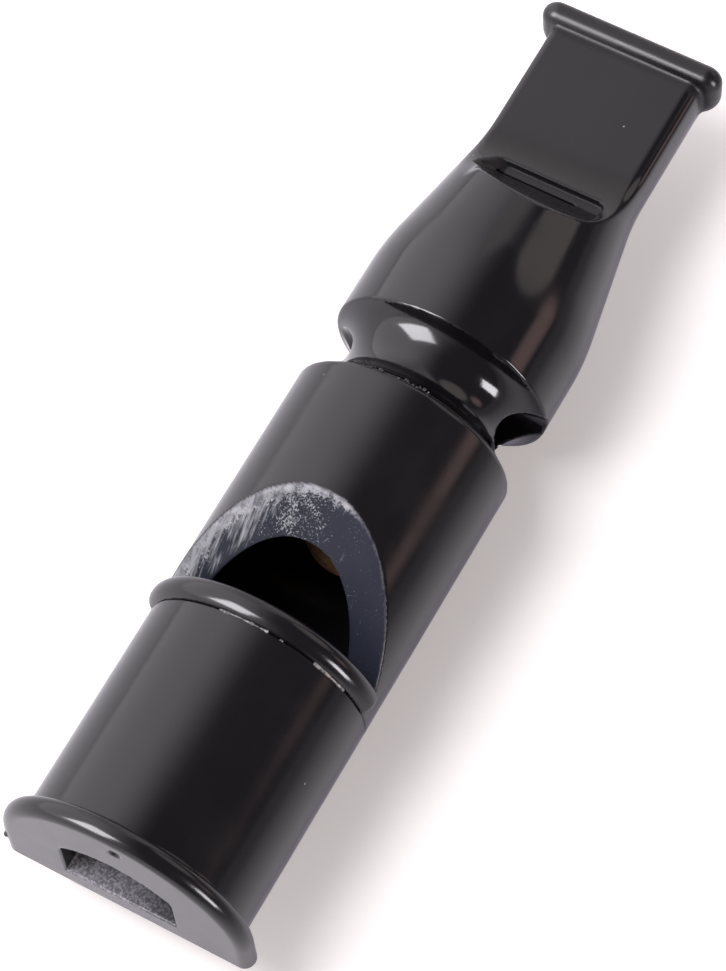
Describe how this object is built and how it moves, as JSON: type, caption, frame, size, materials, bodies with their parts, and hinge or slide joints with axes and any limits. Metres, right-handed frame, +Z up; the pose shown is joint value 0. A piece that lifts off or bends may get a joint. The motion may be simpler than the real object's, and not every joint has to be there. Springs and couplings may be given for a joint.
{
  "type": "dog whistle",
  "caption": "Two-ended dog whistle: a pea whistle with a D-shaped mouthpiece and cork pea, joined at a grooved neck with a cord hole to a high tone whistle with a flat beak.",
  "frame": {"origin": "under the middle of the whistle, on the surface that it lies on", "axes": "+X along the whistle from the pea end to the tone end, +Z up through the sound windows"},
  "size_m": [0.0884, 0.0222, 0.0211],
  "materials": {
    "black_plastic": "gloss black moulded plastic",
    "block_plastic": "finely grained black plastic",
    "cork": "turned cork"
  },
  "bodies": {
    "whistle": {"pea_mouthpiece": "black_plastic", "pea_windway_block": "block_plastic", "pea_barrel": "black_plastic", "tone_body": "black_plastic", "tone_windway_block": "block_plastic"},
    "pea": {"pea_ball": "cork"}
  },
  "joints": [
    {"name": "pea_run", "type": "slide", "parent": "whistle", "child": "pea", "axis": [1, 0, 0], "range_m": [-0.00925, 0]}
  ]
}
